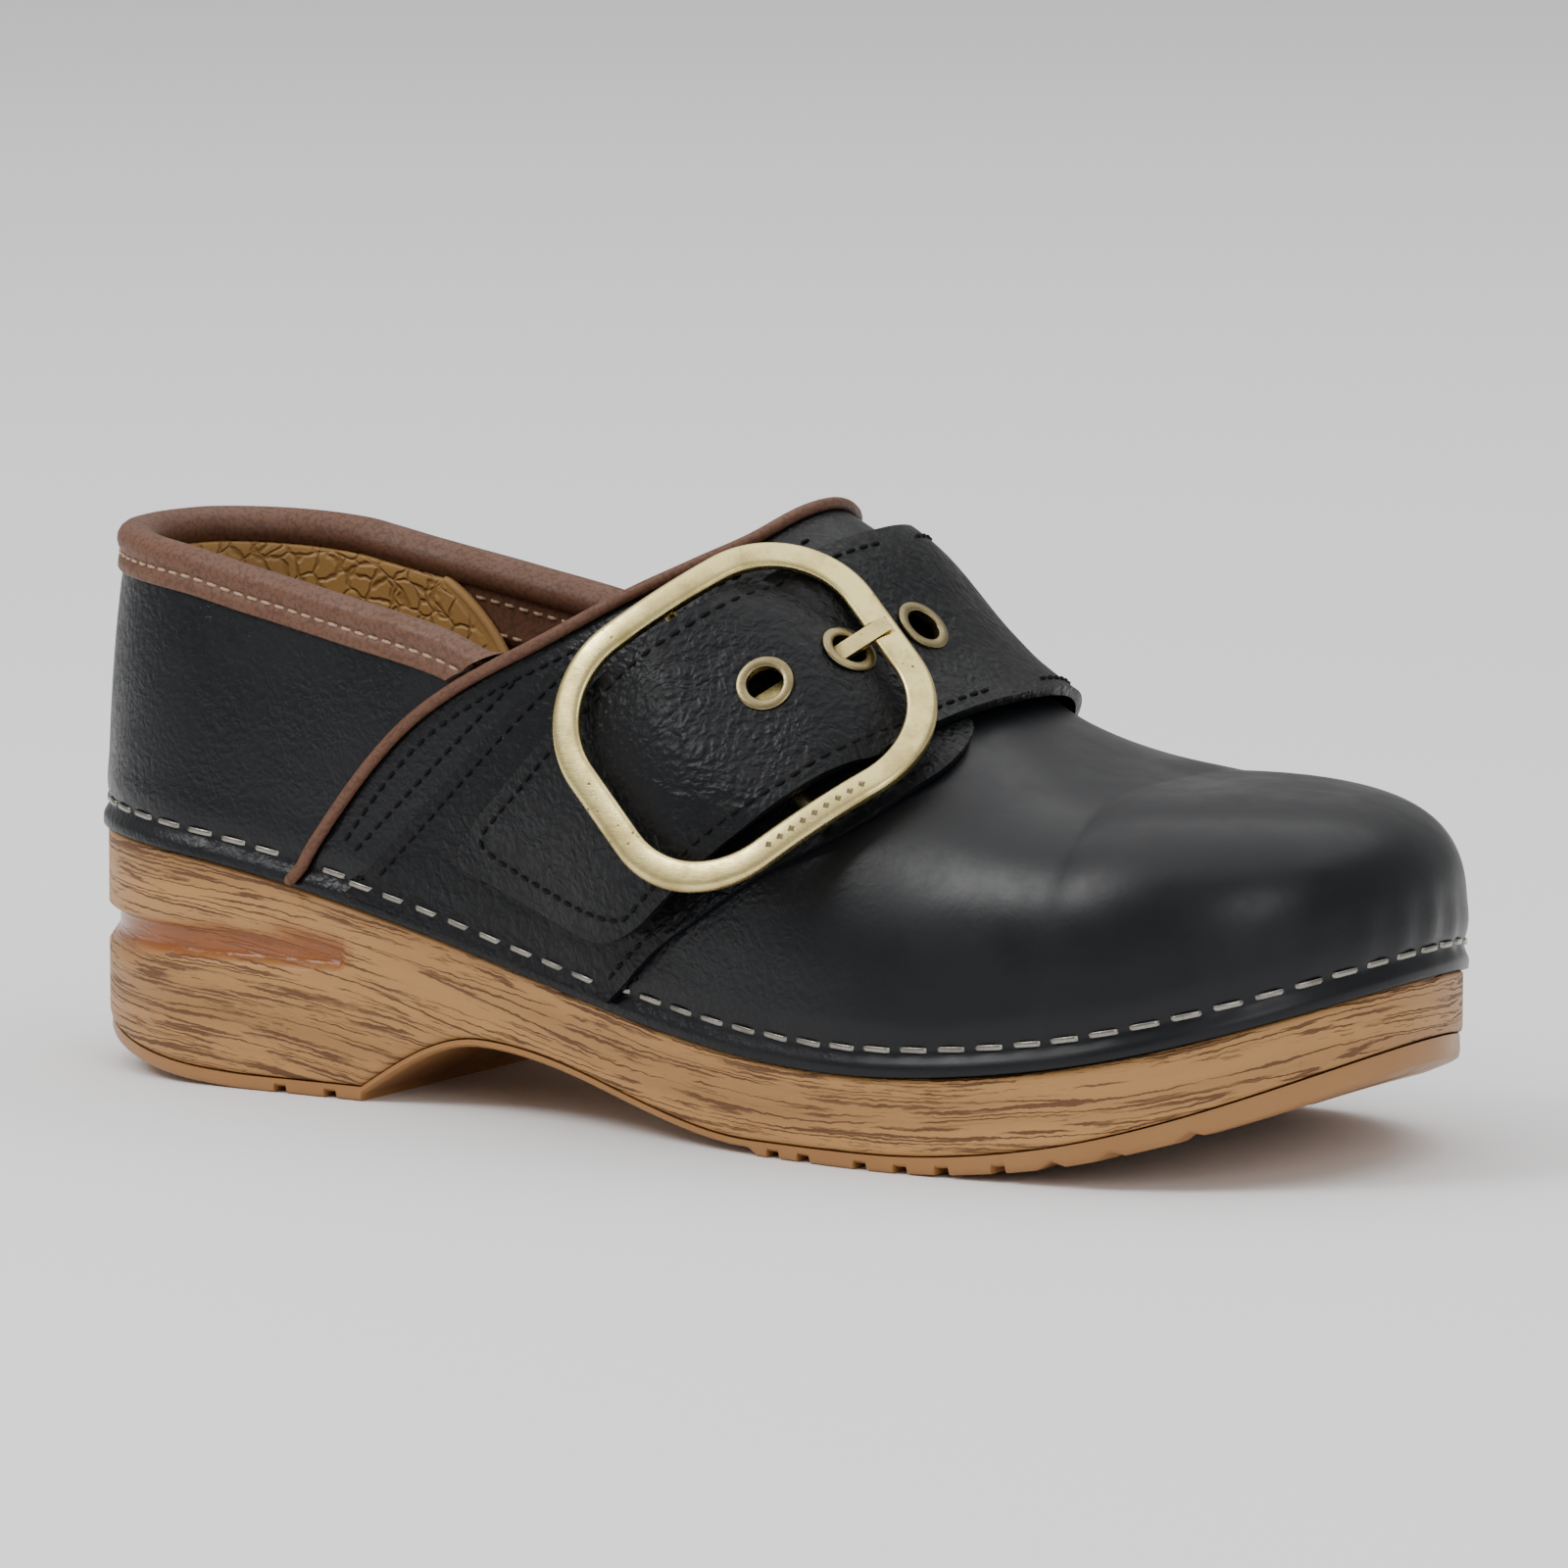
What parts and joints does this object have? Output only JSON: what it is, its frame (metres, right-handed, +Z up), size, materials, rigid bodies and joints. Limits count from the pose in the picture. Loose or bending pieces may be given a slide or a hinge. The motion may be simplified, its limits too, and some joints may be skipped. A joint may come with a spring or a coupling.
{
  "type": "clog",
  "caption": "Closed-heel clog: wood-look moulded sole, black leather upper stapled on all round, brown padded collar, and an instep strap through a large rounded brass buckle.",
  "frame": {"origin": "under the middle of the shoe's bounding box, on the ground it stands on", "axes": "+X towards the toe, +Y towards the medial side (the other foot), +Z up"},
  "size_m": [0.2632, 0.1092, 0.107],
  "materials": {
    "sole_wood_look": "moulded, with an embossed wood grain that runs along the sole",
    "outsole_rubber": "semi-gloss tan rubber",
    "frame_plastic": "plain moulded, hidden inside",
    "foam": "soft foam, hidden under the linings",
    "lining_leather": "smooth brown sock leather",
    "lining_textile": "brown woven textile",
    "stiffener": "stiffened textile, hidden inside the toe",
    "upper_leather": "satin black leather with a pebble grain",
    "strap_leather": "satin black leather with a coarse grain",
    "trim_leather": "matt dusty brown leather",
    "heel_cup_rubber": "golden tan, raised irregular pattern, smooth rim",
    "buckle_brass": "antique pale brass, brushed, bright edges and small dark pits",
    "eyelet_brass": "duller antique brass",
    "staple_steel": "plain drawn steel"
  },
  "bodies": {
    "shoe": {"sole_body": "sole_wood_look", "outsole": "outsole_rubber", "inner_frame": "frame_plastic", "footbed": "foam", "sock_lining": "lining_leather", "vamp": "upper_leather", "vamp_lining": "lining_textile", "toe_puff": "stiffener", "throat_stay_lateral": "upper_leather", "throat_stay_medial": "upper_leather", "quarter": "upper_leather", "quarter_lining": "lining_textile", "heel_counter": "heel_cup_rubber", "collar_binding": "trim_leather", "collar_padding": "foam", "vamp_binding": "trim_leather", "saddle_lateral": "upper_leather", "bar_keeper_front": "upper_leather", "bar_keeper_rear": "upper_leather", "strap": "strap_leather", "eyelet_1": "eyelet_brass", "eyelet_2": "eyelet_brass", "eyelet_3": "eyelet_brass", "staple_01": "staple_steel", "staple_02": "staple_steel", "staple_03": "staple_steel", "staple_04": "staple_steel", "staple_05": "staple_steel", "staple_06": "staple_steel", "staple_07": "staple_steel", "staple_08": "staple_steel", "staple_09": "staple_steel", "staple_10": "staple_steel", "staple_11": "staple_steel", "staple_12": "staple_steel", "staple_13": "staple_steel", "staple_14": "staple_steel", "staple_15": "staple_steel", "staple_16": "staple_steel", "staple_17": "staple_steel", "staple_18": "staple_steel", "staple_19": "staple_steel", "staple_20": "staple_steel", "staple_21": "staple_steel", "staple_22": "staple_steel", "staple_23": "staple_steel", "staple_24": "staple_steel", "staple_25": "staple_steel", "staple_26": "staple_steel", "staple_27": "staple_steel", "staple_28": "staple_steel"},
    "buckle": {"buckle_frame": "buckle_brass", "buckle_bar": "buckle_brass"},
    "prong": {"buckle_prong": "buckle_brass"}
  },
  "joints": [
    {"name": "buckle_tilt", "type": "hinge", "parent": "shoe", "child": "buckle", "pos_m": [0.02068, -0.03547, 0.0736], "axis": [0.7303, -0.2052, -0.6516], "range_deg": [0, 1.2]},
    {"name": "prong_lift", "type": "hinge", "parent": "buckle", "child": "prong", "pos_m": [0.02068, -0.03547, 0.0736], "axis": [0.7303, -0.2052, -0.6516], "range_deg": [0, 1]}
  ]
}
